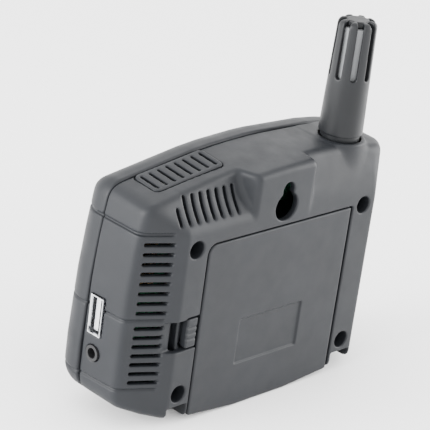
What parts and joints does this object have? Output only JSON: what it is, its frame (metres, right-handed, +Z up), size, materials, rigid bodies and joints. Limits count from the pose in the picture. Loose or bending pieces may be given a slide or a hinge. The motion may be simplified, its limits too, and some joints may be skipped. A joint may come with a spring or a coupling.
{
  "type": "indoor climate monitor",
  "caption": "Desk or wall indoor climate monitor with a plug-in slotted probe, vented grey case, hinged battery door, side sockets, keyhole and front display.",
  "frame": {"origin": "middle of the base, on the surface that the instrument stands on", "axes": "+Z up, +Y out of the rear panel with the battery door, -Y out of the display"},
  "size_m": [0.1204, 0.0364, 0.1228],
  "materials": {
    "case_plastic": "fine-textured slate grey ABS",
    "probe_plastic": "fine-textured dark grey ABS",
    "lens_acrylic": "clear window with a dark printed border",
    "white_plastic": "moulded white",
    "lcd_glass": "grey-green display glass",
    "diffuser": "milky",
    "zebra_rubber": "striped elastomer",
    "circuit_board": "green solder mask",
    "chip_black": "moulded epoxy",
    "silicone": "satin silicone",
    "key_rubber": "satin silicone",
    "sensor_gold": "gold-plated housing",
    "black_plastic": "moulded black",
    "socket_steel": "bright nickel",
    "cell_wrap": "plain blue sleeve",
    "spring_steel": "nickel plated",
    "screw_steel": "zinc plated",
    "bush_brass": "turned brass",
    "filter_mesh": "fine woven mesh",
    "sensor_white": "ceramic",
    "seal_rubber": "nitrile rubber"
  },
  "bodies": {
    "case": {"rear_cover": "case_plastic", "front_cover": "case_plastic", "top_grille": "case_plastic", "display_lens": "lens_acrylic", "lcd_frame": "white_plastic", "lcd_panel": "lcd_glass", "lcd_backlight": "diffuser", "zebra_strips": "zebra_rubber", "main_board": "circuit_board", "board_chips": "chip_black", "key_mat": "silicone", "gas_sensor": "sensor_gold", "buzzer": "black_plastic", "usb_socket": "socket_steel", "adapter_jack": "black_plastic", "probe_socket": "black_plastic", "battery_cell_1": "cell_wrap", "battery_cell_2": "cell_wrap", "battery_cell_3": "cell_wrap", "battery_cell_4": "cell_wrap", "battery_springs": "spring_steel", "battery_plates": "spring_steel", "case_screws": "screw_steel", "board_screws": "screw_steel", "tripod_bush": "bush_brass"},
    "probe": {"probe_body": "probe_plastic", "probe_cage": "probe_plastic", "probe_filter": "filter_mesh", "probe_board": "circuit_board", "probe_sensor": "sensor_white", "probe_plug": "black_plastic", "probe_seal": "seal_rubber"},
    "door": {"battery_door": "case_plastic"},
    "latch": {"battery_latch": "case_plastic"},
    "key_power": {"key_power": "key_rubber"},
    "key_set": {"key_set": "key_rubber"},
    "key_down": {"key_down": "key_rubber"},
    "key_up": {"key_up": "key_rubber"},
    "key_enter": {"key_enter": "key_rubber"}
  },
  "joints": [
    {"name": "door_swing", "type": "hinge", "parent": "case", "child": "door", "pos_m": [-0.0314, 0.01715, 0.03], "axis": [0, 0, 1], "range_deg": [0, 70]},
    {"name": "latch_press", "type": "slide", "parent": "door", "child": "latch", "axis": [-1, 0, 0], "range_m": [0, 0.0006], "stiffness_N_per_m": 2000},
    {"name": "probe_unplug", "type": "slide", "parent": "case", "child": "probe", "axis": [0, 0, 1], "range_m": [0, 0.014]},
    {"name": "key_power_press", "type": "slide", "parent": "case", "child": "key_power", "axis": [0, 1, 0], "range_m": [0, 0.0005], "stiffness_N_per_m": 1500},
    {"name": "key_set_press", "type": "slide", "parent": "case", "child": "key_set", "axis": [0, 1, 0], "range_m": [0, 0.0005], "stiffness_N_per_m": 1500},
    {"name": "key_down_press", "type": "slide", "parent": "case", "child": "key_down", "axis": [0, 1, 0], "range_m": [0, 0.0005], "stiffness_N_per_m": 1500},
    {"name": "key_up_press", "type": "slide", "parent": "case", "child": "key_up", "axis": [0, 1, 0], "range_m": [0, 0.0005], "stiffness_N_per_m": 1500},
    {"name": "key_enter_press", "type": "slide", "parent": "case", "child": "key_enter", "axis": [0, 1, 0], "range_m": [0, 0.0005], "stiffness_N_per_m": 1500}
  ]
}
